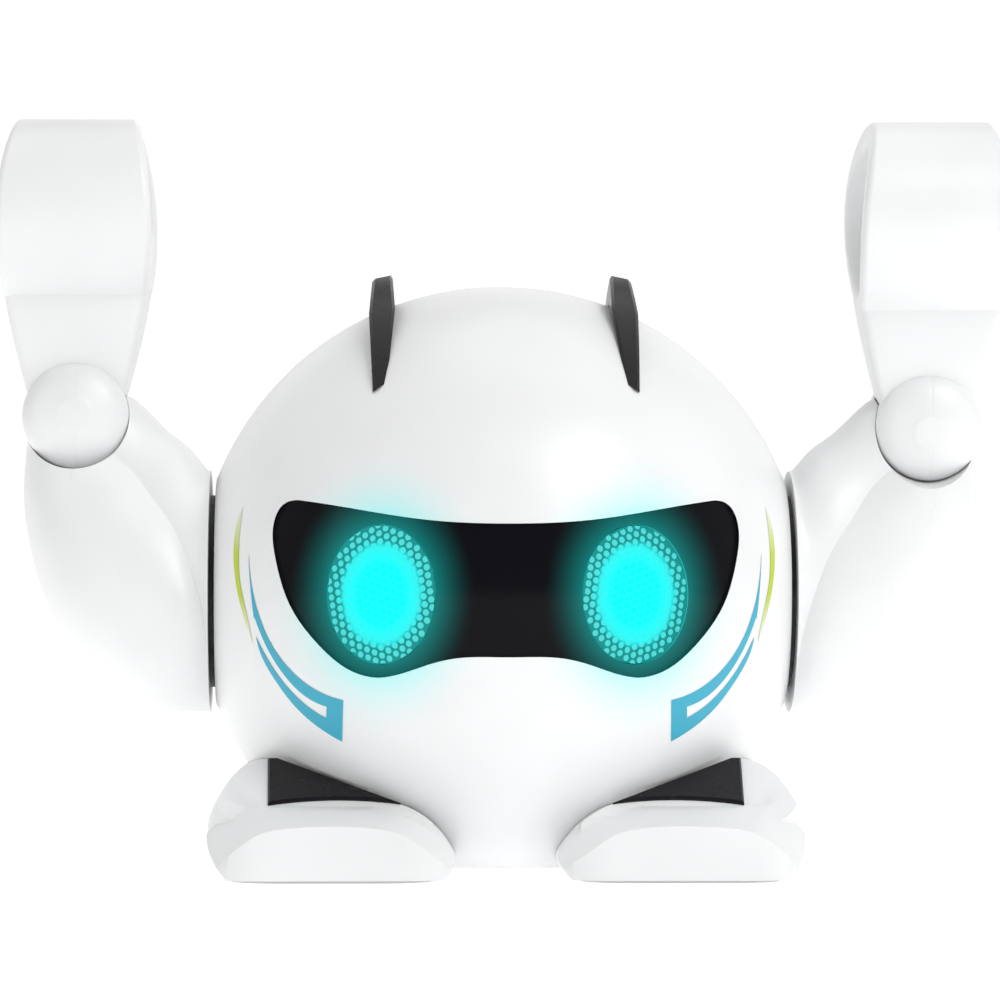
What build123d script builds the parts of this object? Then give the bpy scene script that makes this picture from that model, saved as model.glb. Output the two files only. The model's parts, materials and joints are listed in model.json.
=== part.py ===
from build123d import *
import os
from math import acos, cos, pi, radians, sin, sqrt, tan

# A palm-sized toy robot: a ball-shaped body on two fixed feet, with motor-driven arms that
# swing round one shoulder axis, hinged forearms and ring-shaped hands.
# Millimetres. +Z is up, the face looks along -Y, and +X is the robot's own left.
# The origin is on the floor, below the middle of the body.

# ---- body ----
BALL_R = 62.0            # outside of the ball-shaped body
BALL_Z = 57.0            # height of the ball's centre, and of the shoulder axis
CHEEK_X = 57.6           # flat sides of the body
BELLY_Z = 1.9            # flat underside of the body
WALL = 2.2
INNER_R = BALL_R - WALL
FIT = 0.12               # gap round a cover or lens in its opening
FACE_R = 61.3            # visor and battery door both sit a little below the ball's surface

# ---- face ----
EYE_X, EYE_Z = 24.5, 55.7
GRILLE_A, GRILLE_B = 10.4, 13.4      # half axes of the oval eye opening
LED_BOARD_Y = 40.0
LED_PEG_X = 8.0

# ---- fins ----
FIN_X = 24.2
FIN_TOP_Z, FIN_TIP_Z = 120.9, 95.4

# ---- feet ----
FOOT_BOTTOM = 0.7
FOOT_TOE_Y, FOOT_HEEL_Y = -56.0, 17.0
FOOT_CORNER = (46.4, -41.8, 14.7)    # outer bottom corner of the dark insert
FOOT_POINT = (20.6, -44.2, 15.0)     # toe-side point of the insert
FOOT_HIGH = (46.6, -31.0, 23.4)      # outer top corner of the insert
SOLE_INSET, SOLE_TOP = 5.0, 3.0
BALL_GAP = 0.1

# ---- battery compartment ----
CELL_R, CELL_L, CELL_PITCH = 5.1, 43.5, 11.1
CELL_Y, CELL_Z = 39.4, 47.8          # axis of the middle cell
BOX_X, BOX_Z = 23.4, 17.4            # inside half width and half height
BOX_FRONT_Y = 33.6
BOX_WALL = 1.6

# ---- switch, speaker and boards ----
SWITCH_TILT = 29.0                   # degrees above level, seen from the ball's centre
SWITCH_TRAVEL = 4.0
SPEAKER_TILT = -52.0
SPEAKER_R, SPEAKER_OUT = 13.0, 55.5
BOARD_X, BOARD_FRONT, BOARD_REAR, BOARD_Z = 25.0, -22.0, 24.0, 88.0
BOARD_T = 1.6

# ---- drive ----
MODULE = 0.6
PRESSURE = radians(20)
WHEEL_TEETH, PINION_TEETH, SMALL_TEETH = 40, 10, 12
GEAR_GAP = 0.15                      # added to both centre distances
SHAFT_R, STUB_R, AXLE_R, MOTOR_SHAFT_R = 5.0, 2.5, 1.5, 1.0
RUN = 0.05                           # radial running clearance
PLATE_X, PLATE_T = 32.0, 2.0
COVER_X, COVER_T = 45.6, 1.6
LARGE_X, SMALL_X = (35.4, 38.4), (38.4, 43.2)
OUTPUT_X = (39.6, 42.8)
PINION_X = (35.0, 39.0)
MOTOR_X = (6.5, 31.5)
MOTOR_R, MOTOR_H = 10.0, 15.4

SMALL_DISTANCE = MODULE * (SMALL_TEETH + WHEEL_TEETH) / 2 + GEAR_GAP
PINION_DISTANCE = MODULE * (PINION_TEETH + WHEEL_TEETH) / 2 + GEAR_GAP
IDLER_Z = BALL_Z - SMALL_DISTANCE
MOTOR_Z = IDLER_Z - PINION_DISTANCE

# ---- arms ----
ARM_X = 58.8                         # flat inner face of the arm
DISC_R, DISC_X = 19.5, 57.9
ARM_BEND_Z = 96.5                    # level of the line that the arm's sections fan out from
ARM_WALL = 2.0
DRIVE_SQUARE, DRIVE_END = 6.4, 66.0
LEFT_ARM_PITCH = 13.0                # the left arm rests a little further forward
ELBOW_X, ELBOW_Z = 86.0, 92.2
BOSS_R, BOSS_CLEAR_R = 10.8, 10.88
TONGUE_R, TONGUE_Y, SLOT_R, SLOT_Y = 10.0, 4.0, 10.4, 4.3
BOSS_FLANK_Y, BOSS_TOP_Y = 7.0, 13.0
PIN_R, PIN_Y = 1.5, 10.5
HAND_Z, HAND_R, HAND_BORE_R = 133.5, 19.6, 14.5
WRIST_TOP_Z, WRIST_BOTTOM_Z = 118.0, 96.7


# ================= helpers =================

def toward_front(sketch, start=0.0, end=80.0):
    """A sketch drawn in X and Z, carried towards the face from start to end."""
    return extrude(Plane.XZ.offset(start) * sketch, amount=end - start)


def along_x(sketch, start, end):
    """A sketch drawn in Y and Z, carried along X from start to end."""
    return extrude(Plane.YZ.offset(start) * sketch, amount=end - start)


def rod_x(radius, start, end, y=0.0, z=BALL_Z):
    return along_x(Pos(y, z) * Circle(radius), start, end)


def rod_y(radius, start, end, x, z):
    """A round bar along Y between two values of Y."""
    return Pos(x, (start + end) / 2, z) * Rot(90, 0, 0) * Cylinder(radius, end - start)


def block(x, y, z):
    """A box from (low, high) pairs."""
    size = [high - low for low, high in (x, y, z)]
    middle = [(high + low) / 2 for low, high in (x, y, z)]
    return Pos(*middle) * Box(*size)


def ball(radius):
    return Pos(0, 0, BALL_Z) * Sphere(radius)


def ball_layer(outer, inner, prism):
    """The part of a spherical layer round the body's centre that lies inside a prism."""
    return (ball(outer) & prism) - ball(inner)


def from_ball_centre(tilt):
    """A place at the ball's centre whose Z points to the rear and up by tilt degrees."""
    return Pos(0, 0, BALL_Z) * Rot(tilt - 90, 0, 0)


def mirrored(part):
    return mirror(part, about=Plane.YZ)


def on_both_sides(part):
    return Part() + [part, mirrored(part)]


# ================= body shells =================

def truncated_ball(radius, side, bottom, corner):
    """A ball with two flat sides and a flat underside."""
    rim = sqrt(radius ** 2 - side ** 2)
    half = Polyline((side, 0), (side, rim)) + Polyline((-side, rim), (-side, 0), (side, 0))
    half += ThreePointArc((side, rim), (0, radius), (-side, rim))
    profile = make_face(half)
    corners = [v for v in profile.vertices() if v.Y > rim / 2]
    solid = Pos(0, 0, BALL_Z) * revolve(fillet(corners, corner), axis=Axis.X)
    solid &= Pos(0, 0, bottom) * Box(4 * radius, 4 * radius, 4 * radius,
                                     align=(Align.CENTER, Align.CENTER, Align.MIN))
    return solid


def visor_outline(grow=0.0):
    """The mask-shaped outline of the visor, in X and Z, grown by about the same amount all round."""
    brow = [(0, 12.1), (16, 12.9), (31.5, 15.5), (40.0, 17.0)]
    cheek = [(40.0, 17.0), (43.9, 15.8), (45.3, 12.6), (44.9, 5.7), (42.1, -3.2), (36.4, -11), (30.2, -15.9),
             (25, -17.2)]
    nose = [(0, -13.3), (10.2, -13.5), (15.1, -14.6), (20.5, -16.4), (25, -17.2)]

    def placed(points, side=1):
        return [(side * x * (1 + grow / 46), BALL_Z + z * (1 + grow / 15)) for x, z in points]

    edges = Spline(*placed(cheek)) + Spline(*placed(cheek, -1))
    for run in (brow, nose):
        edges += Spline(*placed(run[:0:-1], -1), *placed(run))
    return make_face(edges)


def eye_oval(a, b):
    return Pos(EYE_X, EYE_Z) * Ellipse(a, b)


def screw_places():
    """X, Z and the side that each case screw is on."""
    return [(x * side, z) for x, z in ((34.0, 92.0), (22.0, 9.4)) for side in (-1, 1)]


def door_outline(margin=0.0):
    width = 2 * (BOX_X + margin)
    height = 2 * (BOX_Z + margin)
    return Pos(0, CELL_Z) * RectangleRounded(width, height, 3.0 + margin)


def toward_rear(sketch, start=0.0, end=80.0):
    return extrude(Plane.XZ.offset(-start) * sketch, amount=start - end)


def switch_slot(length, width, low, high):
    sketch = RectangleRounded(length, width, width / 2 - 0.01)
    return from_ball_centre(SWITCH_TILT) * Pos(0, 0, low) * extrude(sketch, amount=high - low)


def speaker_holes():
    """Two rings of round holes and one in the middle."""
    holes = [(0.0, 0.0)]
    for ring, count in ((4.2, 6), (8.4, 12)):
        holes += [(ring * cos(2 * pi * i / count), ring * sin(2 * pi * i / count)) for i in range(count)]
    drill = Cylinder(1.1, 12)
    place = from_ball_centre(SPEAKER_TILT) * Pos(0, 0, INNER_R)
    return Part() + [place * Pos(x, y, 0) * drill for x, y in holes]


def fin_slot(gap):
    return block((FIN_X - 1.0 - gap, FIN_X + 1.0 + gap), (-22 - gap, -4 + gap), (BALL_Z, FIN_TOP_Z - 5))


def hollow_body():
    outer = truncated_ball(BALL_R, CHEEK_X, BELLY_Z, 1.2)
    return outer - truncated_ball(INNER_R, CHEEK_X - WALL, BELLY_Z + WALL, 1.0)


def front_shell():
    """The front half: opening for the visor, slots for the fins and four screw bosses."""
    shell = hollow_body() - block((-70, 70), (0, 70), (-10, 130))
    cavity = truncated_ball(INNER_R + 0.5, CHEEK_X - WALL + 0.5, BELLY_Z + WALL - 0.5, 1.0)
    for x, z in screw_places():
        shell += (rod_y(3.4, -45, 0, x, z) & cavity) - rod_y(1.25, -14, 1, x, z)
    shell -= toward_front(visor_outline(FIT))
    shell -= on_both_sides(fin_slot(FIT)) + on_both_sides(rod_x(7.55, 50, 60))
    return shell


def rear_shell():
    """The rear half: battery opening, switch slot, speaker holes and counterbored screw bosses."""
    shell = hollow_body() - block((-70, 70), (-70, 0), (-10, 130))
    cavity = truncated_ball(INNER_R + 0.5, CHEEK_X - WALL + 0.5, BELLY_Z + WALL - 0.5, 1.0)
    for x, z in screw_places():
        shell += rod_y(3.4, 0, 45, x, z) & cavity
        shell -= rod_y(1.3, -1, 40, x, z) + rod_y(2.7, 24, 70, x, z)
    shell -= toward_rear(door_outline(FIT))
    shell -= switch_slot(11.0, 3.6, 50, 70) + switch_slot(15.0, 6.4, BALL_R - 0.9, 70)
    shell -= speaker_holes() + on_both_sides(rod_x(7.55, 50, 60))
    return shell


# ================= face =================

def visor():
    """Smoked mask with a flange behind the shell, two oval eye openings and two pegs."""
    mask = ball_layer(FACE_R, 58.6, toward_front(visor_outline(1.8)))
    mask -= block((-70, 70), (-80, 0), (0, 120)) - ball(INNER_R - 0.1) - toward_front(visor_outline())
    mask -= on_both_sides(toward_front(eye_oval(GRILLE_A + 0.05, GRILLE_B + 0.05)))
    for side in (-1, 1):
        peg = rod_y(2.4, -59.0, -LED_BOARD_Y - BOARD_T, side * LED_PEG_X, BALL_Z)
        tip = rod_y(0.95, -LED_BOARD_Y - BOARD_T, -LED_BOARD_Y + 1.0, side * LED_PEG_X, BALL_Z)
        mask += peg + tip
    return mask


def eye_grille():
    """Oval plate over one eye, where the small holes are."""
    return ball_layer(FACE_R - 0.5, 59.6, toward_front(eye_oval(GRILLE_A, GRILLE_B)))


def eye_lens():
    """Milky light spreader behind the grille."""
    return ball_layer(59.5, 57.6, toward_front(eye_oval(GRILLE_A - 0.1, GRILLE_B - 0.1)))


def eye_led_board():
    plate = block((-38, 38), (-LED_BOARD_Y - BOARD_T, -LED_BOARD_Y), (47, 67))
    plate = fillet(plate.edges().filter_by(Axis.Y), 3.0)
    for side in (-1, 1):
        plate -= rod_y(1.0, -50, -30, side * LED_PEG_X, BALL_Z)
    return plate


def eye_leds():
    """Three surface-mounted LEDs behind each eye, and the resistors beside them."""
    front = -LED_BOARD_Y - BOARD_T
    parts = []
    for side in (-1, 1):
        for dz in (-5.5, 0, 5.5):
            x = side * EYE_X
            body = block((x - 1.8, x + 1.8), (front - 1.6, front), (EYE_Z + dz - 1.8, EYE_Z + dz + 1.8))
            parts.append(body + rod_y(1.4, front - 2.0, front - 1.5, x, EYE_Z + dz))
        x = side * 15.0
        parts.append(block((x - 0.8, x + 0.8), (front - 0.6, front), (60, 63.2)))
    return Part() + parts


def fin():
    """A blunt blade that leans back from the brow, with a tab through the shell."""
    front = ThreePointArc((-42.2, FIN_TIP_Z), (-27.5, 110.6), (-8.0, FIN_TOP_Z))
    rear = ThreePointArc((-6.2, FIN_TOP_Z - 0.6), (4.0, 116.6), (12.0, 112.0))
    side_view = make_face(front + Line((-8.0, FIN_TOP_Z), (-6.2, FIN_TOP_Z - 0.6)) + rear
                          + Polyline((12.0, 112.0), (12.0, 100.0), (-42.2, 90.0), (-42.2, FIN_TIP_Z)))
    front_view = Pos(FIN_X, 0) * make_face(Polyline((-0.9, FIN_TIP_Z + 1.9), (1.9, FIN_TIP_Z), (2.6, 112.0),
                                                    (1.9, FIN_TOP_Z - 1.1), (-2.2, FIN_TOP_Z),
                                                    (-2.6, 113.0), close=True))
    blade = along_x(side_view, FIN_X - 4, FIN_X + 4) & toward_front(front_view, -20, 60)
    edges = [e for e in blade.edges() if e.center().Z > 100 and e.center().Y < -7
             and abs(e.tangent_at(0.5).X) < 0.5]
    blade = chamfer(edges, 0.6) - ball(BALL_R + 0.02)
    return blade + (fin_slot(0) - ball(57.5) & ball(BALL_R + 1.0))


def stripe(outline):
    """A thin sticker on the ball's surface, cut to an outline seen from the front."""
    return ball_layer(BALL_R + 0.1, BALL_R, toward_front(outline))


def side_stripe_yellow():
    outer = Spline((51.7, 73.2), (53.3, 67.6), (53.4, 61.8), (52.4, 55.2), (49.7, 46.6))
    inner = Spline((49.7, 46.6), (50.9, 52.6), (52.1, 58.2), (52.4, 65.0), (51.7, 73.2))
    return on_both_sides(stripe(make_face(outer + inner)))


def side_stripe_blue():
    """Two curved bars that run down the cheek and join in a hook below the visor."""
    upper = Spline((50.4, 63.6), (50.0, 59.0), (48.6, 52.7), (46.3, 47.0), (42.8, 41.9), (38.8, 38.3),
                   (31.8, 35.3))
    lower = Spline((32.0, 27.2), (37.2, 30.4), (41.3, 34.1), (44.9, 38.8), (47.8, 43.8), (49.0, 49.0))
    tail = Spline((49.0, 49.0), (49.8, 55.0), (50.4, 63.6))
    whole = make_face(upper + Line((31.8, 35.3), (32.0, 27.2)) + lower + tail)
    slot_top = Spline((35.0, 34.0), (39.7, 36.4), (43.7, 40.6), (46.8, 45.6), (49.2, 51.4))
    slot_low = Spline((49.9, 49.8), (48.0, 45.8), (45.3, 41.2), (41.6, 36.6), (38.0, 33.5), (35.1, 31.8))
    slot = make_face(slot_top + Line((49.2, 51.4), (49.9, 49.8)) + slot_low + Line((35.1, 31.8), (35.0, 34.0)))
    return on_both_sides(stripe(whole - slot))


# ================= feet =================

def insert_plane():
    """The slope that the dark insert lies on, with its X from the corner towards the toe-side point."""
    corner, point, high = (Vector(*p) for p in (FOOT_CORNER, FOOT_POINT, FOOT_HIGH))
    return Plane(origin=corner, x_dir=point - corner, z_dir=(high - corner).cross(point - corner))


def foot_plan(inset=0.0, corner=11.0):
    """Outline of a foot seen from above, with round toes."""
    toe, heel = FOOT_TOE_Y + inset, FOOT_HEEL_Y - inset
    low, high = 9.2 + inset, 58.8 - inset
    sketch = Pos((low + high) / 2, (toe + heel) / 2) * Rectangle(high - low, heel - toe)
    return fillet(sketch.vertices(), corner)


def foot_front_view():
    """The whole foot seen from the front; its lower edges tuck in above the floor."""
    inside = Spline((20.6, 15.0), (16.4, 13.0), (12.9, 9.9), (10.9, 7.1), (9.9, 4.6), (10.6, 2.8),
                    (12.4, FOOT_BOTTOM))
    outside = Spline((54.2, FOOT_BOTTOM), (56.4, 3.4), (58.0, 6.6), (58.4, 9.6), (57.5, 13.6), (55.8, 17.0),
                     (53.6, 20.2), (50.9, 22.4), (46.6, 23.4))
    floor = Line((12.4, FOOT_BOTTOM), (54.2, FOOT_BOTTOM))
    return make_face(inside + floor + outside + Line((46.6, 23.4), (20.6, 15.0)))


def toe_arch():
    """The front of the toe: a flat-topped arch."""
    arch = Spline((11.0, 0.2), (15.0, 4.0), (20.4, 8.8), (26.0, 10.3), (33.0, 10.7), (42.0, 10.3),
                  (48.0, 8.9), (51.6, 5.8), (54.6, 0.2))
    return make_face(arch + Line((54.6, 0.2), (11.0, 0.2)))


def instep_arch():
    """The same arch where the toe meets the insert, wider and higher."""
    arch = Spline((4.0, 0.2), (8.4, 7.0), (16.4, 13.6), (25.0, 15.6), (33.0, 16.0), (43.0, 15.7),
                  (51.0, 14.6), (58.6, 9.0), (62.0, 0.2))
    return make_face(arch + Line((62.0, 0.2), (4.0, 0.2)))


def foot():
    """Shoe with a raised ankle behind the dark insert, hollowed to fit the body's ball."""
    heel_view = make_face(Polyline((FOOT_TOE_Y - 1, FOOT_BOTTOM), (FOOT_TOE_Y - 1, 16.0), (8.0, 16.0),
                                   (FOOT_HEEL_Y + 1, 9.0), (FOOT_HEEL_Y + 1, FOOT_BOTTOM), close=True))
    front_view = toward_front(foot_front_view(), -30, 70)
    shoe = extrude(foot_plan(), amount=30) & front_view & along_x(heel_view, 0, 70)
    ridge = loft([Plane.XZ.offset(57.5) * toe_arch(), Plane.XZ.offset(41.0) * instep_arch()])
    front_part = shoe & (ridge + toward_front(instep_arch(), -30, 41.0))
    ankle_plan = Pos(36.4, -19.5) * Rectangle(44.0, 55.0)
    ankle_plan = fillet(ankle_plan.vertices().sort_by(Axis.X)[-2:], 12.5)
    behind = insert_plane().location * Pos(0, 0, -60) * Box(240, 240, 120)
    ankle = extrude(ankle_plan, amount=30) & front_view & behind
    solid = (front_part & (behind + block((0, 70), (-70, 40), (0, 14.6)))) + ankle
    solid = solid - ball(BALL_R + BALL_GAP) - foot_vent()
    solid -= extrude(foot_plan(SOLE_INSET - 0.1), amount=SOLE_TOP)
    return largest(solid)


def foot_vent():
    """Dark three-cornered insert on the slope above the toe."""
    plane = insert_plane()
    point = plane.to_local_coords(Vector(*FOOT_POINT))
    high = plane.to_local_coords(Vector(*FOOT_HIGH))
    bottom = ThreePointArc((0, 0), (point.X / 2, high.Y * 0.1), (point.X, 0))
    edges = bottom + Polyline((point.X, 0), (high.X + 2.0, high.Y), (high.X, high.Y), (0, 0))
    plate = plane.location * (Pos(0, 0, -1.2) * extrude(make_face(edges), amount=2.0))
    rim = plate.edges().group_by(lambda e: round(plane.to_local_coords(e.center()).Z, 2))[-1]
    return chamfer(rim, 0.4) - ball(BALL_R + BALL_GAP)


def sole():
    pad = extrude(foot_plan(SOLE_INSET), amount=SOLE_TOP)
    return fillet(pad.faces().sort_by(Axis.Z)[0].edges(), 0.4) - ball(BALL_R + BALL_GAP)


# ================= inside the body =================

def battery_box():
    """Open tray for three cells, fixed behind the opening in the rear shell."""
    out = BOX_WALL + FIT
    tray = toward_rear(Pos(0, CELL_Z) * Rectangle(2 * (BOX_X + out), 2 * (BOX_Z + out)), BOX_FRONT_Y - 1.6)
    tray -= toward_rear(Pos(0, CELL_Z) * Rectangle(2 * (BOX_X + FIT), 2 * (BOX_Z + FIT)), BOX_FRONT_Y)
    return tray & ball(INNER_R - RUN)


def battery_cells():
    cells = []
    for row in (-1, 0, 1):
        z = CELL_Z + row * CELL_PITCH
        nub = (-1) ** row
        cell = rod_x(CELL_R, -CELL_L / 2, CELL_L / 2, CELL_Y, z)
        cell = fillet(cell.edges().filter_by(GeomType.CIRCLE), 0.4)
        tip = rod_x(1.9, CELL_L / 2 - 0.5, CELL_L / 2 + 0.9, CELL_Y, z)
        cells.append(cell + (tip if nub > 0 else mirrored(tip)))
    return Part() + cells


def battery_contacts():
    contacts = []
    for row in (-1, 0, 1):
        z = CELL_Z + row * CELL_PITCH
        plate = block((BOX_X - 0.35, BOX_X + 0.05), (CELL_Y - 4, CELL_Y + 4), (z - 4.2, z + 4.2))
        contacts += [plate, mirrored(plate)]
    return Part() + contacts


def battery_door():
    """Cover that follows the ball, with a finger notch and a boss for its screw."""
    door = (ball(FACE_R) & toward_rear(door_outline(-FIT))) - ball(FACE_R - 1.9)
    notch = rod_y(7.0, 40, 80, 0, CELL_Z - BOX_Z - 3.6) & ball(BALL_R + 2) - ball(FACE_R - 0.7)
    screw_z = CELL_Z + BOX_Z - 4.4
    boss = rod_y(2.6, 50.5, 60.3, 0, screw_z)
    door = door - notch + boss
    return door - rod_y(1.15, 50, 70, 0, screw_z) - rod_y(2.3, FACE_R - 2.4, 70, 0, screw_z)


def cross_screw(head_r, head_t, shank_r, length):
    """A screw with its head's top at Z = 0, pointing down, with a cross recess."""
    head = fillet(Cylinder(head_r, head_t, align=(Align.CENTER, Align.CENTER, Align.MAX)).edges()
                  .sort_by(Axis.Z)[-1], head_t * 0.35)
    recess = Box(head_r * 1.2, head_r * 0.3, head_t) + Box(head_r * 0.3, head_r * 1.2, head_t)
    shank = Cylinder(shank_r, length, align=(Align.CENTER, Align.CENTER, Align.MAX))
    return head + shank - recess


def facing_rear(x, y, z):
    """A place whose Z points to the rear."""
    return Pos(x, y, z) * Rot(-90, 0, 0)


def battery_door_screw():
    return facing_rear(0, FACE_R - 1.0, CELL_Z + BOX_Z - 4.4) * cross_screw(2.2, 1.4, 1.1, 9.0)


def case_screws():
    """The four screws that hold the two halves together."""
    return Part() + [facing_rear(x, 24.0 + 1.8, z) * cross_screw(2.5, 1.8, 1.2, 34.0)
                     for x, z in screw_places()]


def chassis():
    """Upright plate behind the motors, with a shelf for the main board and motor cradles."""
    plate = block((-31.9, 31.9), (15.5, 17.5), (16.5, 86.0))
    shelf = block((-27, 27), (-20, 17.5), (84.0, 86.0))
    frame = plate + shelf
    for x in (10.0, 26.0):
        rib = block((x - 1, x + 1), (-12, 16), (MOTOR_Z - 11.5, MOTOR_Z + 4))
        rib += block((x - 1, x + 1), (10, 16), (MOTOR_Z + 4, 84.5))
        frame += on_both_sides(rib - motor_shape(0.08))
    for x in (-21.0, 21.0):
        for y in (-17.0, 14.0):
            frame += Pos(x, y, 87.0) * Cylinder(2.2, 2.0) + Pos(x, y, 88.5) * Cylinder(0.95, 3.2)
    return frame


def main_board():
    board = block((-BOARD_X, BOARD_X), (BOARD_FRONT, BOARD_REAR), (BOARD_Z, BOARD_Z + BOARD_T))
    board = fillet(board.edges().filter_by(Axis.Z), 3.0)
    for x in (-21.0, 21.0):
        for y in (-17.0, 14.0):
            board -= Pos(x, y, BOARD_Z) * Cylinder(1.0, 10)
    return board


def board_components():
    """Controller and driver chips, a capacitor, a crystal can, a microphone and lead sockets."""
    top = BOARD_Z + BOARD_T
    parts = [block((x - a, x + a), (y - b, y + b), (top, top + h)) for x, y, a, b, h in (
        (-6, -4, 5.0, 5.0, 1.4), (12, -5, 2.6, 4.0, 1.6), (12, 8, 2.6, 4.0, 1.6), (-6, 10, 4.0, 2.0, 3.0),
        (2, 20, 6.0, 2.2, 5.0), (-17, 2, 2.2, 6.0, 5.0), (19.5, 1, 2.2, 6.0, 5.0), (0, -18, 6.0, 2.2, 5.0))]
    parts.append(Pos(-14, 17, top + 4) * Cylinder(3.2, 8))
    parts.append(Pos(12, -14.5, top + 1.4) * Cylinder(2.6, 2.8))
    return Part() + parts


def speaker():
    """Round speaker with a stepped magnet, facing the holes under the rear shell."""
    place = from_ball_centre(SPEAKER_TILT)
    frame = Pos(0, 0, SPEAKER_OUT - 1.5) * Cylinder(SPEAKER_R, 3.0)
    magnet = Pos(0, 0, SPEAKER_OUT - 5.0) * Cylinder(6.5, 4.2)
    cone = Pos(0, 0, SPEAKER_OUT + 2.0) * Cone(2.0, 10.5, 6.0)
    return place * (frame + magnet - cone)


def power_switch():
    """Slide switch behind the rear shell; its slot leaves room for the knob's stem."""
    place = from_ball_centre(SWITCH_TILT)
    body = Pos(0, 0, 54.6) * Box(16, 6.4, 5.6)
    return place * (body - Pos(0, 0, 57.0) * Box(9.0, 2.6, 4.0))


def power_switch_knob():
    """Ribbed knob, at rest in the off position."""
    place = from_ball_centre(SWITCH_TILT) * Pos(-SWITCH_TRAVEL / 2, 0, 0)
    cap = Pos(0, 0, 60.6) * fillet(Box(6.0, 3.0, 2.0).edges().filter_by(Axis.Z), 0.6)
    for x in (-1.8, 0, 1.8):
        cap -= Pos(x, 0, 61.6) * Box(0.5, 4, 0.6)
    return place * (cap + Pos(0, 0, 57.9) * Box(3.4, 2.0, 4.6))


# ================= drive =================

def involute_gear(teeth, addendum, first_tooth):
    """Spur gear outline. first_tooth is the angle of one tooth's centre, from +Y towards +Z."""
    pitch_r = MODULE * teeth / 2
    base_r = pitch_r * cos(PRESSURE)
    root_r = pitch_r - 1.25 * MODULE
    tip_r = pitch_r + addendum * MODULE
    backlash = 0.07 / pitch_r
    half_at_base = pi / (2 * teeth) - backlash + tan(PRESSURE) - PRESSURE
    flank = []
    for radius in (root_r, max(base_r, root_r + 0.05), pitch_r, (pitch_r + tip_r) / 2, tip_r):
        roll = acos(min(1.0, base_r / radius))
        flank.append((radius, half_at_base - (tan(roll) - roll)))
    points = []
    for tooth in range(teeth):
        centre = first_tooth + 2 * pi * tooth / teeth
        points += [(r * cos(centre - half), r * sin(centre - half)) for r, half in flank]
        points += [(r * cos(centre + half), r * sin(centre + half)) for r, half in reversed(flank)]
    return make_face(Polyline(*points, close=True))


def shoulder_gear(pitch):
    """Output gear, its shaft and the square end that drives the arm."""
    down = -pi / 2
    gear = along_x(Pos(0, BALL_Z) * involute_gear(WHEEL_TEETH, 0.8, down), *OUTPUT_X)
    shaft = rod_x(STUB_R, PLATE_X + 0.3, OUTPUT_X[0]) + rod_x(SHAFT_R, OUTPUT_X[1], ARM_X)
    square = along_x(Pos(0, BALL_Z) * Rotation(0, 0, pitch) * Rectangle(DRIVE_SQUARE, DRIVE_SQUARE),
                     ARM_X, DRIVE_END)
    return gear + shaft + square - rod_x(1.2, DRIVE_END - 8, DRIVE_END + 1)


def idler_gear():
    """Compound gear between the motor's pinion and the output gear."""
    down, up = -pi / 2, pi / 2
    large = along_x(Pos(0, IDLER_Z) * involute_gear(WHEEL_TEETH, 0.8, down), *LARGE_X)
    small = along_x(Pos(0, IDLER_Z) * involute_gear(SMALL_TEETH, 0.9, up + pi / SMALL_TEETH), *SMALL_X)
    return large + small - rod_x(AXLE_R + RUN, 30, 50, 0, IDLER_Z)


def motor_pinion():
    """Pinion on the motor's shaft."""
    up = pi / 2
    gear = along_x(Pos(0, MOTOR_Z) * involute_gear(PINION_TEETH, 0.9, up + pi / PINION_TEETH), *PINION_X)
    return gear + rod_x(MOTOR_SHAFT_R, MOTOR_X[1] - 4.5, PINION_X[1] + 1.5, 0, MOTOR_Z)


def motor_shape(gap=0.0):
    """Round can with two flats."""
    can = rod_x(MOTOR_R + gap, MOTOR_X[0], MOTOR_X[1], 0, MOTOR_Z)
    return can & block((0, 40), (-20, 20), (MOTOR_Z - MOTOR_H / 2 - gap, MOTOR_Z + MOTOR_H / 2 + gap))


def motor():
    boss = rod_x(3.0, MOTOR_X[1], MOTOR_X[1] + 1.5, 0, MOTOR_Z)
    tail = rod_x(3.5, MOTOR_X[0] - 1.5, MOTOR_X[0], 0, MOTOR_Z)
    shaft_hole = rod_x(MOTOR_SHAFT_R + RUN, MOTOR_X[1] - 5.0, MOTOR_X[1] + 5, 0, MOTOR_Z)
    return motor_shape() + boss + tail - shaft_hole


def gearbox_outline(inset=0.0):
    top, bottom = BALL_Z + 15.5 - inset, 21.2 + inset
    size = (2 * (14.8 - inset), top - bottom)
    return Pos(0, (top + bottom) / 2) * RectangleRounded(*size, 8.0 - inset)


def gearbox_plate():
    """Inner plate: motor seat, bearing for the output stub and the fixed axle of the idler."""
    plate = along_x(gearbox_outline(), PLATE_X, PLATE_X + PLATE_T)
    plate -= rod_x(3.05, 30, 36, 0, MOTOR_Z) + rod_x(STUB_R + RUN, 30, 36)
    collar = rod_x(3.0, PLATE_X + PLATE_T, LARGE_X[0] - 0.2, 0, IDLER_Z)
    axle = rod_x(AXLE_R, PLATE_X + PLATE_T, COVER_X - COVER_T + 1.0, 0, IDLER_Z)
    return plate + collar + axle


def gearbox_cover():
    """Cup that closes the gear train, with a bearing for the output shaft."""
    cup = along_x(gearbox_outline(), PLATE_X + PLATE_T, COVER_X)
    cup -= along_x(gearbox_outline(1.3), PLATE_X + PLATE_T, COVER_X - COVER_T)
    return cup - rod_x(SHAFT_R + RUN, 40, 50) - rod_x(AXLE_R + 0.02, 40, COVER_X - 0.5, 0, IDLER_Z)


def shoulder_bush():
    """Flanged bearing in the side of the body, split with the two shells round it."""
    tube = rod_x(7.5, 52.8, CHEEK_X) + rod_x(10.0, 53.4, CHEEK_X - WALL - 0.05)
    return tube - rod_x(SHAFT_R + RUN, 50, 60)


# ================= arms =================

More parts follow.
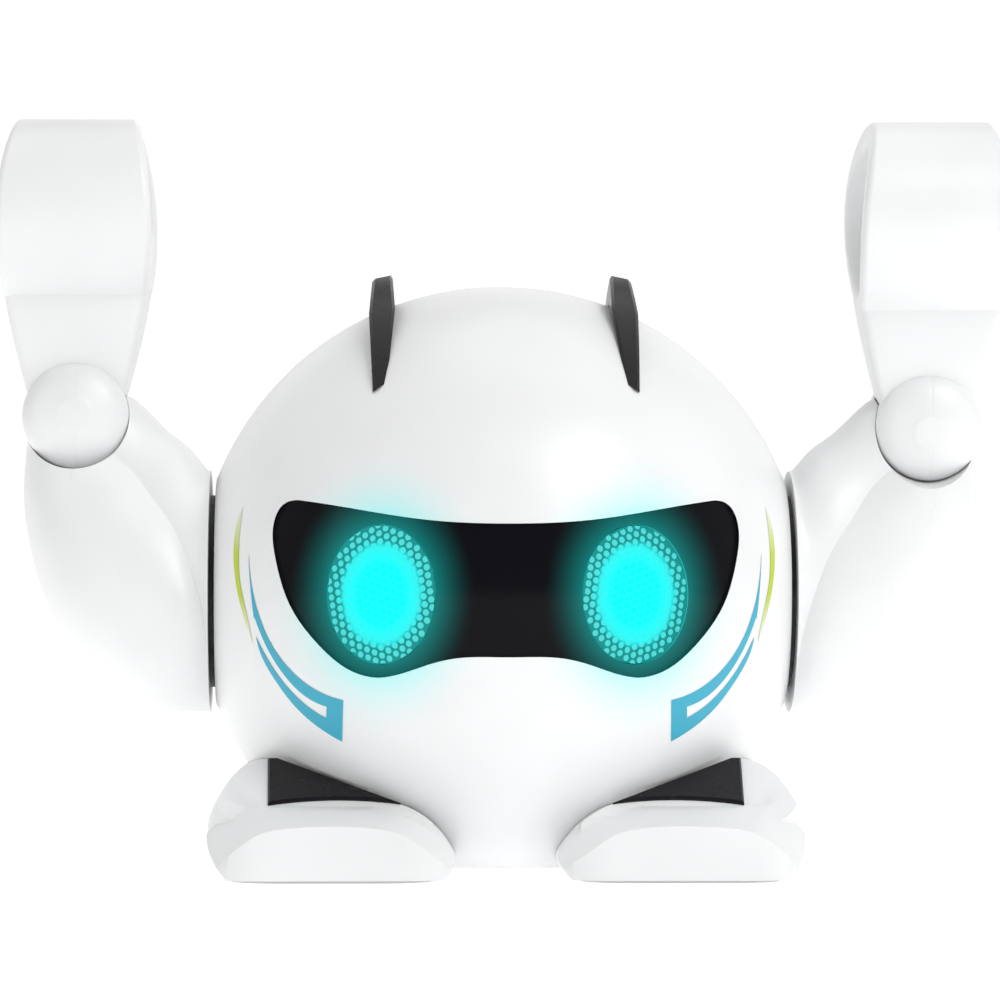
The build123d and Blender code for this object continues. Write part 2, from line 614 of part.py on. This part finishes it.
def fan_section(angle, inner, outer, half_depth, inset):
    """Rear half of an oval section, on a plane that fans out from the line above the shoulder.

    angle is 0 straight down at the shoulder and 90 outward, level with the elbow."""
    out = Vector(sin(radians(angle)), 0, -cos(radians(angle)))
    plane = Plane(origin=Vector(ARM_X, 0, ARM_BEND_Z) + out * ((inner + outer) / 2), x_dir=out,
                  z_dir=out.cross(Vector(0, 1, 0)))
    a, b = (outer - inner) / 2 - inset, half_depth - inset
    arc = EllipticalCenterArc((0, 0), a, b, start_angle=0, arc_size=180)
    return plane * make_face(arc + Line((-a, 0), (a, 0)))


def upper_arm_form(inset=0.0):
    """Rear half of the arm: a slim inner member from hub to elbow, joined to a fuller outer lobe."""
    member = [(0, 15.0, 64.0, 24.5), (6, 14.0, 56.5, 20.8), (22, 11.3, 45.0, 17.2), (45, 10.9, 36.0, 12.2),
              (68, 12.0, 36.5, 10.2), (90, 16.2, 37.6, 9.0)]
    lobe = [(0, 30.0, 64.0, 21.8), (6, 25.5, 64.4, 24.0), (14, 20.0, 63.9, 24.0), (26, 18.4, 60.0, 22.8),
            (40, 18.0, 52.8, 20.0), (54, 19.0, 46.2, 16.7), (70, 20.4, 40.2, 13.4), (84, 21.4, 38.4, 12.0)]
    return (loft([fan_section(*row, inset) for row in member])
            + loft([fan_section(*row, inset) for row in lobe]))


def with_front_half(rear):
    return rear + mirror(rear, about=Plane.XZ)


def elbow_tongue():
    """Flat eye of the upper arm that the elbow pin goes through."""
    neck = block((ELBOW_X - 7.4, ELBOW_X + 7.4), (-TONGUE_Y, TONGUE_Y), (77.0, ELBOW_Z - 2))
    eye = rod_y(TONGUE_R, -TONGUE_Y, TONGUE_Y, ELBOW_X, ELBOW_Z)
    return eye + neck - rod_y(PIN_R + RUN, -20, 20, ELBOW_X, ELBOW_Z)


def upper_arm():
    """Whole upper arm before it is parted into its two mouldings."""
    form = upper_arm_form()
    hollow = upper_arm_form(ARM_WALL) & block((ARM_X + ARM_WALL, 120), (-40, 40), (0, 79.0))
    ears = rod_y(BOSS_CLEAR_R, -30, 30, ELBOW_X, ELBOW_Z)
    room = block((ARM_X, 120), (-1, 40), (0, WRIST_BOTTOM_Z - 0.3))
    half = (form - hollow - ears & room) + (rod_x(8.0, ARM_X, 72.0) & form)
    solid = with_front_half(half) + elbow_tongue()
    socket = along_x(Pos(0, BALL_Z) * Rectangle(DRIVE_SQUARE, DRIVE_SQUARE), ARM_X - 1, DRIVE_END)
    return solid - socket - rod_x(1.3, ARM_X, 80) - rod_x(3.2, DRIVE_END + 2, 80)


def arm_inner_side():
    """Everything on the body's side of the parting line between the upper arm's mouldings."""
    line = Spline((ELBOW_X, 84), (85.4, 75), (79.2, 65.8), (74.5, 56), (70.4, 47.8), (66.6, 38), (65, 28))
    rest = Polyline((65, 28), (50, 28), (50, 110), (ELBOW_X, 110), (ELBOW_X, 84))
    return toward_front(make_face(line + rest), -40, 40)


def shoulder_screw():
    """Screw inside the arm that holds it on the square of the shaft."""
    return Pos(DRIVE_END + 3.4, 0, BALL_Z) * Rot(0, 90, 0) * cross_screw(2.6, 1.4, 1.15, 9.5)


def shoulder_disc():
    disc = rod_x(DISC_R, DISC_X, ARM_X) - rod_x(SHAFT_R + 0.1, 50, 60)
    return disc


def elbow_boss():
    """Domed barrel ends of the elbow."""
    dome = BOSS_TOP_Y - BOSS_FLANK_Y
    curve = [(BOSS_R * cos(a), BOSS_FLANK_Y + dome * sin(a)) for a in (pi / 8, pi / 4, 3 * pi / 8)]
    edge = Spline((BOSS_R, BOSS_FLANK_Y), *curve, (0, BOSS_TOP_Y), tangents=[(0, 1), (-1, 0)])
    profile = make_face(edge + Polyline((0, BOSS_TOP_Y), (0, 0), (BOSS_R, 0), (BOSS_R, BOSS_FLANK_Y)))
    front_half = revolve(profile, axis=Axis.Y)
    return Pos(ELBOW_X, 0, ELBOW_Z) * (front_half + mirror(front_half, about=Plane.XZ))


def forearm_width():
    """The forearm and hand seen from the front: a slim barrel, widest at the hand."""
    half = [(9.9, WRIST_BOTTOM_Z), (12.5, 107), (14.5, 117.6), (15.4, 128), (14.6, 142), (11.8, 154)]
    left = Spline(*[(ELBOW_X + x, z) for x, z in half])
    right = Spline(*[(ELBOW_X - x, z) for x, z in half])
    ends = [Line((ELBOW_X - x, z), (ELBOW_X + x, z)) for x, z in (half[0], half[-1])]
    return toward_front(make_face(left + right + ends), -30, 30)


def hand_ring():
    ring = (rod_x(HAND_R, 60, 110, 0, HAND_Z) & forearm_width()) - rod_x(HAND_BORE_R, 60, 110, 0, HAND_Z)
    return fillet([e for e in ring.edges() if abs(e.tangent_at(0.3).X) < 0.7], 1.4)


def wrist():
    """Tapering stem below the ring, with softened corners."""
    side_view = make_face(Polyline((-6.8, WRIST_BOTTOM_Z), (6.8, WRIST_BOTTOM_Z), (10.2, WRIST_TOP_Z),
                                   (-10.2, WRIST_TOP_Z), close=True))
    stem = along_x(side_view, 60, 110) & forearm_width()
    return fillet([e for e in stem.edges() if abs(e.tangent_at(0.5).Z) > 0.8], 2.0)


def forearm():
    """Whole forearm before it is parted into its two mouldings."""
    solid = hand_ring() + (wrist() - rod_x(HAND_BORE_R + 1, 60, 110, 0, HAND_Z)) + elbow_boss()
    slot = block((60, 110), (-SLOT_Y, SLOT_Y), (70, WRIST_BOTTOM_Z))
    slot += rod_y(SLOT_R, -SLOT_Y, SLOT_Y, ELBOW_X, ELBOW_Z)
    return solid - slot - rod_y(PIN_R, -PIN_Y, PIN_Y, ELBOW_X, ELBOW_Z)


def elbow_pin():
    pin = rod_y(PIN_R, -PIN_Y, PIN_Y, ELBOW_X, ELBOW_Z)
    return chamfer(pin.edges().filter_by(GeomType.CIRCLE), 0.3)


def largest(part):
    """The main solid of a cut, without the slivers beside it."""
    return max(part.solids(), key=lambda solid: solid.volume)


def parted(solid, inner_side):
    return {"inner": largest(solid & inner_side), "outer": largest(solid - inner_side)}


def arm_nodes():
    """Every piece that turns with the left arm, hanging straight up from the shoulder."""
    upper = parted(upper_arm(), arm_inner_side())
    fore = parted(forearm(), block((50, ELBOW_X), (-40, 40), (60, 170)))
    return {"upper_arm_inner": upper["inner"], "upper_arm_outer": upper["outer"],
            "shoulder_screw": shoulder_screw(), "shoulder_disc": shoulder_disc(),
            "forearm_inner": fore["inner"], "forearm_outer": fore["outer"], "elbow_pin": elbow_pin()}


# ================= all nodes =================

def single_nodes():
    makers = (front_shell, rear_shell, visor, eye_led_board, eye_leds, side_stripe_blue, side_stripe_yellow,
              battery_box, battery_cells, battery_contacts, battery_door, battery_door_screw, case_screws,
              chassis, main_board, board_components, speaker, power_switch, power_switch_knob)
    return {maker.__name__: maker() for maker in makers}


def paired_nodes():
    makers = (eye_grille, eye_lens, fin, foot, foot_vent, sole, motor, motor_pinion, idler_gear,
              gearbox_plate, gearbox_cover, shoulder_bush)
    nodes = {}
    for maker in makers:
        left = maker()
        nodes[maker.__name__ + "_left"] = left
        nodes[maker.__name__ + "_right"] = mirrored(left)
    return nodes


def swinging_nodes():
    pitched = Pos(0, 0, BALL_Z) * Rot(LEFT_ARM_PITCH, 0, 0) * Pos(0, 0, -BALL_Z)
    nodes = {"shoulder_gear_left": shoulder_gear(LEFT_ARM_PITCH),
             "shoulder_gear_right": mirrored(shoulder_gear(0.0))}
    for name, part in arm_nodes().items():
        nodes[name + "_left"] = pitched * part
        nodes[name + "_right"] = mirrored(part)
    return nodes


os.makedirs("parts", exist_ok=True)
for node, solid in {**single_nodes(), **paired_nodes(), **swinging_nodes()}.items():
    export_step(solid, f"parts/{node}.step")
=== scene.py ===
import json
from math import cos, pi, radians, sin, sqrt

import bmesh
import bpy
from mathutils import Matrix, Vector


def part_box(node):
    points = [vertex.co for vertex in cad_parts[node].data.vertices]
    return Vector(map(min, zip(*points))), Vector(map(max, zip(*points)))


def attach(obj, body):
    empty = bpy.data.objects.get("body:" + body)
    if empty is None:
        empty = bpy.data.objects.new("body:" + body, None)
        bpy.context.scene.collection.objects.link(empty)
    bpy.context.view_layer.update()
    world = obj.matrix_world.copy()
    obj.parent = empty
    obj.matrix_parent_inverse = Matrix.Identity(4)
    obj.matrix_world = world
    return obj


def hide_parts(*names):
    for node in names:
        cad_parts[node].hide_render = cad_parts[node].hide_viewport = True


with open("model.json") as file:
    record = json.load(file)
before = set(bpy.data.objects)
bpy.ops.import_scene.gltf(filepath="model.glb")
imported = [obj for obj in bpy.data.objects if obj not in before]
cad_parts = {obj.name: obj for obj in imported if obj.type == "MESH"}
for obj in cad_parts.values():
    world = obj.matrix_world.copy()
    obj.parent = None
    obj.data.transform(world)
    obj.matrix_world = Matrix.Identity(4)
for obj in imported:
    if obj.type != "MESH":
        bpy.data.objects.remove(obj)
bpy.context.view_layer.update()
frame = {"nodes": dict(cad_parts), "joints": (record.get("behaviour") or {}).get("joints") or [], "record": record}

MM = 0.001
NODES = frame["nodes"]
JOINTS = {joint["name"]: joint for joint in frame["joints"]}

# ---- places taken from the frame ----
BALL_Z = JOINTS["shoulder_right"]["pos_m"][2]
FACE_R = -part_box("visor")[0].y
EYE_LOW, EYE_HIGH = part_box("eye_grille_left")
EYE_X, EYE_Z = (EYE_LOW.x + EYE_HIGH.x) / 2, (EYE_LOW.z + EYE_HIGH.z) / 2
EYE_A, EYE_B = (EYE_HIGH.x - EYE_LOW.x) / 2, (EYE_HIGH.z - EYE_LOW.z) / 2

# ---- camera ----
CAMERA_TURN, CAMERA_TILT = -1.7, -1.8     # degrees; negative tilt looks up from below
CAMERA_FAR, CAMERA_LENS = 0.98, 173.0
AIM = Vector((0.0, 0.0, 75.6 * MM))

# ---- how far the edges of each outer moulding are rounded, by material slot ----
SOFT_EDGES = {"white_shell": 0.3 * MM, "white_arm": 0.3 * MM}

# ---- eyes ----
CELL_PITCH, CELL_HOLE = 1.55 * MM, 0.66 * MM
MESH_THICK = 0.5 * MM
MESH_TILT = 22.0                         # degrees, of the honeycomb's rows
MESH_SINK = 0.5 * MM                     # how far the mesh lies below the visor's face

# ---- stripes: how far from a yellow stripe's middle height it starts to pale, and is palest ----
FADE_START, FADE_END = 4 * MM, 13 * MM

# ---- backdrop sheet, in metres ----
SHEET_HALF_WIDTH, SHEET_NEAR, SHEET_BEND = 3.0, -3.0, 1.5
SHEET_CURVE, SHEET_RISE = 0.8, 2.0


# ================= shader helpers =================

class Shader:
    """A Principled material, with short ways to add and join nodes."""

    def __init__(self, name, **sockets):
        self.material = bpy.data.materials.new(name)
        self.material.use_nodes = True
        self.tree = self.material.node_tree
        self.main = self.tree.nodes["Principled BSDF"]
        self.set(self.main, sockets)

    def set(self, node, sockets):
        for key, value in sockets.items():
            numbered = key.startswith("in") and key[2:].isdigit()
            target = node.inputs[int(key[2:]) if numbered else key.replace("_", " ")]
            if isinstance(value, bpy.types.NodeSocket):
                self.tree.links.new(value, target)
            else:
                target.default_value = value

    def add(self, kind, settings=None, **sockets):
        node = self.tree.nodes.new("ShaderNode" + kind)
        for key, value in (settings or {}).items():
            setattr(node, key, value)
        self.set(node, sockets)
        return node

    def math(self, operation, *values):
        sockets = {f"in{i}": value for i, value in enumerate(values)}
        return self.add("Math", {"operation": operation}, **sockets).outputs[0]

    def place(self):
        """Position in the frame, in metres."""
        return self.add("TexCoord").outputs["Object"]

    def noise(self, scale, detail=3.0):
        return self.add("TexNoise", Vector=self.place(), Scale=scale, Detail=detail).outputs[0]

    def span(self, value, low, high, from_low=0.0, from_high=1.0, kind="LINEAR"):
        node = self.add("MapRange", {"interpolation_type": kind}, Value=value)
        self.set(node, {"From_Min": from_low, "From_Max": from_high, "To_Min": low, "To_Max": high})
        return node.outputs[0]

    def mix(self, amount, first, second):
        node = self.add("Mix", {"data_type": "RGBA"}, in0=amount, in6=first, in7=second)
        return node.outputs[2]

    def bump(self, height, strength, distance):
        node = self.add("Bump", None, Height=height, Strength=strength, Distance=distance)
        return node.outputs[0]

    def use(self, **sockets):
        self.set(self.main, sockets)
        return self


def grey(level):
    return (level, level, level, 1.0)


def eye_distance(shader):
    """How far a point lies from the nearer eye's centre, 1 on the rim of its oval, seen from the front."""
    axes = shader.add("SeparateXYZ", None, Vector=shader.place()).outputs
    across = shader.math("DIVIDE", shader.math("SUBTRACT", shader.math("ABSOLUTE", axes[0]), EYE_X), EYE_A)
    up = shader.math("DIVIDE", shader.math("SUBTRACT", axes[2], EYE_Z), EYE_B)
    squares = shader.math("ADD", shader.math("POWER", across, 2.0), shader.math("POWER", up, 2.0))
    return shader.math("SQRT", squares)


# ================= materials =================

def moulded(name, color, roughness, grain=700.0, coat=0.0, peel=0.01):
    """Moulded plastic: slight unevenness of colour and gloss, and a very fine surface ripple."""
    shader = Shader(name, Roughness=roughness, Coat_Weight=coat, Coat_Roughness=0.2)
    wide = shader.noise(28.0, 2.0)
    fine = shader.noise(grain, 4.0)
    darker = tuple(0.95 * c for c in color[:3]) + (1.0,)
    shader.use(Base_Color=shader.mix(shader.span(wide, 0, 1, 0.35, 0.65), darker, color))
    shader.use(Roughness=shader.span(fine, roughness * 0.8, roughness * 1.25, 0.3, 0.7))
    shader.use(Normal=shader.bump(fine, peel, 0.05 * MM))
    return shader


def white_shell():
    """Gloss white, with the eyes' cyan light painted into its colour where it spills over the edge of the visor.
    """
    shader = moulded("white_shell", (0.86, 0.865, 0.87, 1.0), 0.36, coat=0.15)
    front = shader.math("LESS_THAN", shader.add("SeparateXYZ", None, Vector=shader.place()).outputs[1], 0.0)
    near = shader.math("POWER", shader.span(eye_distance(shader), 1.0, 0.0, 1.05, 2.2), 2.2)
    # painted light: a cyan glow painted into the base colour, strongest next to the eyes, on the front only
    painted_glow_spill = shader.math("MULTIPLY", near, 0.8)
    plain = shader.main.inputs["Base Color"].links[0].from_socket
    lit = shader.mix(shader.math("MULTIPLY", painted_glow_spill, front), plain, (0.22, 0.93, 0.92, 1.0))
    return shader.use(Base_Color=lit)


def visor_plastic():
    """Smoked gloss black with the eyes' glow painted on as emission, fading out across it."""
    shader = moulded("visor", (0.006, 0.006, 0.008, 1.0), 0.12, peel=0.003)
    near = shader.span(eye_distance(shader), 1.0, 0.0, 0.98, 1.75)
    # painted light: emission round each eye standing for the eyes' light scattered in the visor
    painted_visor_glow = shader.math("MULTIPLY", shader.math("POWER", near, 2.0), 0.20)
    return shader.use(Emission_Color=(0.0, 1.0, 0.93, 1.0), Emission_Strength=painted_visor_glow,
                      Specular_IOR_Level=0.06)


def eye_light():
    """The lit spreader behind an eye: fierce in the middle, softer at the rim."""
    shader = moulded("eye_light", (0.02, 0.05, 0.05, 1.0), 0.6)
    rim = shader.span(eye_distance(shader), 0, 1, 0.45, 0.9)
    colour = shader.mix(rim, (0.0, 1.0, 1.0, 1.0), (0.09, 0.70, 0.68, 1.0))
    return shader.use(Emission_Color=colour, Emission_Strength=1.0, Specular_IOR_Level=0.1)


def eye_mesh_plastic():
    """Dark perforated plate with the light from behind painted on as emission, flooding towards the middle."""
    shader = moulded("eye_mesh", (0.01, 0.03, 0.03, 1.0), 0.6)
    ragged = shader.math("ADD", eye_distance(shader), shader.span(shader.noise(900.0, 2.0), -0.05, 0.05))
    # painted light: the plate's emission stands for the eye's light shining through it
    flood = shader.span(ragged, 1.0, 0.0, 0.66, 0.80, "SMOOTHSTEP")
    core = shader.span(ragged, 0.0, 1.0, 0.35, 0.74, "SMOOTHSTEP")
    bright = shader.mix(core, (0.0, 1.0, 1.0, 1.0), (0.02, 0.94, 0.92, 1.0))
    painted_mesh_glow = shader.mix(flood, (0.002, 0.26, 0.25, 1.0), bright)
    return shader.use(Emission_Color=painted_mesh_glow, Emission_Strength=1.0, Specular_IOR_Level=0.1)


def printed(name, color, fade_about=None):
    """A printed film; with its middle height given, it pales towards both ends."""
    shader = moulded(name, color, 0.38, grain=3500.0, peel=0.01)
    if fade_about is not None:
        height = shader.add("SeparateXYZ", None, Vector=shader.place()).outputs[2]
        reach = shader.math("ABSOLUTE", shader.math("SUBTRACT", height, fade_about))
        pale = shader.span(reach, 0.0, 0.8, FADE_START, FADE_END)
        printed_color = shader.main.inputs["Base Color"].links[0].from_socket
        shader.use(Base_Color=shader.mix(pale, printed_color, (0.84, 0.86, 0.80, 1.0)))
    return shader


def middle_of(node):
    """Height of the middle of a node's box."""
    low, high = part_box(node)
    return (low.z + high.z) / 2


def dark_gloss():
    """Near-black plastic with a slow ripple, for the fins and the feet's inserts."""
    shader = moulded("dark_gloss", (0.014, 0.013, 0.015, 1.0), 0.24, grain=300.0, peel=0.005)
    return shader.use(Specular_IOR_Level=0.16)


def metal(name, color, roughness):
    shader = Shader(name, Metallic=1.0, Roughness=roughness, Base_Color=color)
    streaks = shader.noise(1500.0, 5.0)
    shader.use(Roughness=shader.span(streaks, roughness * 0.7, roughness * 1.4, 0.3, 0.7))
    return shader.use(Normal=shader.bump(streaks, 0.05, 0.03 * MM))


def circuit_board():
    """Green board with faint tracks."""
    shader = moulded("circuit_board", (0.02, 0.16, 0.07, 1.0), 0.35)
    cells = shader.add("TexBrick", None, Vector=shader.place(), Scale=260.0).outputs["Fac"]
    tracks = shader.mix(cells, (0.02, 0.16, 0.07, 1.0), (0.05, 0.28, 0.12, 1.0))
    return shader.use(Base_Color=tracks)


def make_materials():
    """One finished material for each slot of the record."""
    made = {
        "white_shell": white_shell(),
        "white_arm": moulded("white_arm", (0.86, 0.865, 0.87, 1.0), 0.38, coat=0.1),
        "visor_black": visor_plastic(),
        "eye_grille": eye_mesh_plastic(),
        "eye_glow": eye_light(),
        "dark_gloss": dark_gloss(),
        "dark_matte": moulded("dark_matte", grey(0.03), 0.5),
        "stripe_blue": printed("stripe_blue", (0.03, 0.40, 0.56, 1.0)),
        "stripe_yellow": printed("stripe_yellow", (0.50, 0.62, 0.03, 1.0), middle_of("side_stripe_yellow")),
        "sole_rubber": moulded("sole_rubber", grey(0.62), 0.75, grain=1200.0, peel=0.2),
        "inner_grey": moulded("inner_grey", (0.36, 0.37, 0.39, 1.0), 0.5),
        "circuit_board": circuit_board(),
        "led_white": moulded("led_white", (0.85, 0.85, 0.8, 1.0), 0.3),
        "component_black": moulded("component_black", grey(0.03), 0.45),
        "speaker_black": moulded("speaker_black", grey(0.04), 0.8, grain=900.0, peel=0.3),
        "cell_jacket": moulded("cell_jacket", (0.05, 0.20, 0.13, 1.0), 0.3, coat=0.4),
        "contact_steel": metal("contact_steel", (0.72, 0.71, 0.68, 1.0), 0.25),
        "screw_steel": metal("screw_steel", (0.5, 0.5, 0.52, 1.0), 0.35),
        "motor_can": metal("motor_can", (0.62, 0.63, 0.65, 1.0), 0.3),
        "gear_nylon": moulded("gear_nylon", (0.80, 0.78, 0.70, 1.0), 0.45),
        "pinion_brass": metal("pinion_brass", (0.80, 0.60, 0.25, 1.0), 0.25),
    }
    return {name: shader.material for name, shader in made.items()}


def soften_edges(node, width):
    """Rounds a moulding's sharp edges so that they catch the light."""
    weld = node.modifiers.new("weld", "WELD")
    weld.merge_threshold = 0.001 * MM
    bevel = node.modifiers.new("soft_edges", "BEVEL")
    bevel.width = width
    bevel.segments = 2
    bevel.limit_method = "ANGLE"
    bevel.angle_limit = radians(40)
    node.modifiers.new("shading", "WEIGHTED_NORMAL")


def dress_cad_nodes(materials):
    """Every carried-over CAD node gets its slot's material, and the outer mouldings soft edges."""
    for row in frame["record"]["subparts"]:
        node, slot = NODES[row["node"]], row["material_slot"]
        node.data.materials.clear()
        node.data.materials.append(materials[slot])
        if slot in SOFT_EDGES:
            soften_edges(node, SOFT_EDGES[slot])


# ================= eyes =================

def on_ball(x, z, radius):
    """The point above (x, z) on the face of a ball round the body's centre."""
    return Vector((x, -sqrt(radius ** 2 - x ** 2 - (z - BALL_Z) ** 2), z))


def in_oval(x, z, limit=1.0):
    """(x, z) pulled back to the oval if it lies outside, both measured from the oval's centre."""
    reach = sqrt((x / EYE_A) ** 2 + (z / EYE_B) ** 2)
    scale = min(1.0, limit / reach) if reach else 1.0
    return x * scale, z * scale


def cell_centres():
    """Centres of a honeycomb that covers the oval, measured from its centre."""
    turn = radians(MESH_TILT)
    reach = int(1.3 * EYE_B / CELL_PITCH) + 2
    for row in range(-reach, reach + 1):
        for column in range(-reach, reach + 1):
            u = (column + 0.5 * (row % 2)) * CELL_PITCH
            v = row * CELL_PITCH * sqrt(3) / 2
            x, z = u * cos(turn) - v * sin(turn), u * sin(turn) + v * cos(turn)
            if (x / EYE_A) ** 2 + (z / EYE_B) ** 2 < 1.12:
                yield x, z


def eye_mesh(side, name, material):
    """Honeycomb plate of one eye: round holes in six-sided cells, and a plain border."""
    mesh = bmesh.new()
    turn = radians(MESH_TILT)
    surface = FACE_R - MESH_SINK

    def vertex(x, z):
        x, z = in_oval(x, z, 0.995)
        return mesh.verts.new(on_ball(side * (EYE_X + x), EYE_Z + z, surface))

    for x, z in cell_centres():
        rim, hole = [], []
        for step in range(12):
            angle = turn + pi / 6 + step * pi / 6
            edge = CELL_PITCH / 2 / cos(pi / 6) if step % 2 == 0 else CELL_PITCH / 2
            rim.append(vertex(x + edge * cos(angle), z + edge * sin(angle)))
            hole.append(vertex(x + CELL_HOLE * cos(angle), z + CELL_HOLE * sin(angle)))
        inside = sqrt((x / EYE_A) ** 2 + (z / EYE_B) ** 2) < 0.99
        for step in range(12):
            after = (step + 1) % 12
            mesh.faces.new((rim[step], rim[after], hole[after], hole[step]))
        if not inside:
            mesh.faces.new(hole)
    bmesh.ops.remove_doubles(mesh, verts=mesh.verts, dist=0.02 * MM)
    bmesh.ops.dissolve_degenerate(mesh, edges=mesh.edges, dist=0.01 * MM)
    bmesh.ops.recalc_face_normals(mesh, faces=mesh.faces)
    data = bpy.data.meshes.new(name)
    mesh.to_mesh(data)
    mesh.free()
    plate = bpy.data.objects.new(name, data)
    bpy.context.scene.collection.objects.link(plate)
    data.materials.append(material)
    thicken = plate.modifiers.new("thickness", "SOLIDIFY")
    thicken.thickness = MESH_THICK
    thicken.offset = -1 if side > 0 else 1
    return plate


def make_eyes(materials):
    for side, word in ((1, "left"), (-1, "right")):
        plate = eye_mesh(side, f"eye_mesh_{word}", materials["eye_grille"])
        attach(plate, "body")
        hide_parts(f"eye_grille_{word}")


# ================= stage =================

def floor_and_backdrop():
    """A pale sheet that runs level under the robot and curves up far behind it."""
    mesh = bmesh.new()
    profile = [(SHEET_NEAR, 0.0), (SHEET_BEND, 0.0)]
    for step in range(1, 9):
        angle = step * pi / 16
        profile.append((SHEET_BEND + SHEET_CURVE * sin(angle), SHEET_CURVE - SHEET_CURVE * cos(angle)))
    profile.append((SHEET_BEND + SHEET_CURVE, SHEET_RISE))
    rows = [[mesh.verts.new((side * SHEET_HALF_WIDTH, y, z)) for side in (-1, 1)] for y, z in profile]
    for low, high in zip(rows, rows[1:]):
        mesh.faces.new((low[0], low[1], high[1], high[0])).smooth = True
    data = bpy.data.meshes.new("floor")
    mesh.to_mesh(data)
    mesh.free()
    sheet = bpy.data.objects.new("floor", data)
    bpy.context.scene.collection.objects.link(sheet)
    paper = moulded("floor_paper", grey(0.93), 0.9, grain=400.0, peel=0.02)
    paper.use(Emission_Color=grey(1.0), Emission_Strength=0.50)
    data.materials.append(paper.material)


def soft_light(name, place, target, size, power):
    data = bpy.data.lights.new(name, "AREA")
    data.size = size
    data.energy = power
    lamp = bpy.data.objects.new(name, data)
    lamp.location = place
    lamp.rotation_euler = (Vector(target) - Vector(place)).to_track_quat("-Z", "Y").to_euler()
    bpy.context.scene.collection.objects.link(lamp)


def studio_world():
    """White walls all round, dark behind the camera so that the visor stays black."""
    world = bpy.data.worlds.new("studio")
    world.use_nodes = True
    tree = world.node_tree
    background = tree.nodes["Background"]
    direction = tree.nodes.new("ShaderNodeTexCoord")
    axes = tree.nodes.new("ShaderNodeSeparateXYZ")
    ramp = tree.nodes.new("ShaderNodeMapRange")
    ramp.interpolation_type = "SMOOTHSTEP"
    for socket, value in (("From Min", -0.95), ("From Max", -0.25), ("To Min", 0.10), ("To Max", 0.54)):
        ramp.inputs[socket].default_value = value
    tree.links.new(direction.outputs["Generated"], axes.inputs["Vector"])
    tree.links.new(axes.outputs["Y"], ramp.inputs["Value"])
    tree.links.new(ramp.outputs["Result"], background.inputs["Strength"])
    background.inputs["Color"].default_value = grey(1.0)
    bpy.context.scene.world = world


def make_lights():
    middle = (0.0, 0.0, 0.07)
    soft_light("key", (0.62, -0.8, 0.9), middle, 0.7, 7.7)
    soft_light("fill", (-0.95, -0.75, 0.45), middle, 0.8, 1.4)
    soft_light("top", (0.1, 0.1, 1.1), middle, 0.9, 2.1)
    studio_world()
    bpy.context.scene.view_settings.view_transform = "Standard"


def make_camera():
    data = bpy.data.cameras.new("camera")
    data.lens = CAMERA_LENS
    data.sensor_width = 36.0
    camera = bpy.data.objects.new("camera", data)
    turn, tilt = radians(CAMERA_TURN), radians(CAMERA_TILT)
    back = Vector((sin(turn) * cos(tilt), -cos(turn) * cos(tilt), sin(tilt)))
    camera.location = AIM + back * CAMERA_FAR
    camera.rotation_euler = (-back).to_track_quat("-Z", "Y").to_euler()
    bpy.context.scene.collection.objects.link(camera)
    bpy.context.scene.camera = camera


def main():
    materials = make_materials()
    dress_cad_nodes(materials)
    make_eyes(materials)
    floor_and_backdrop()
    make_lights()
    make_camera()


main()
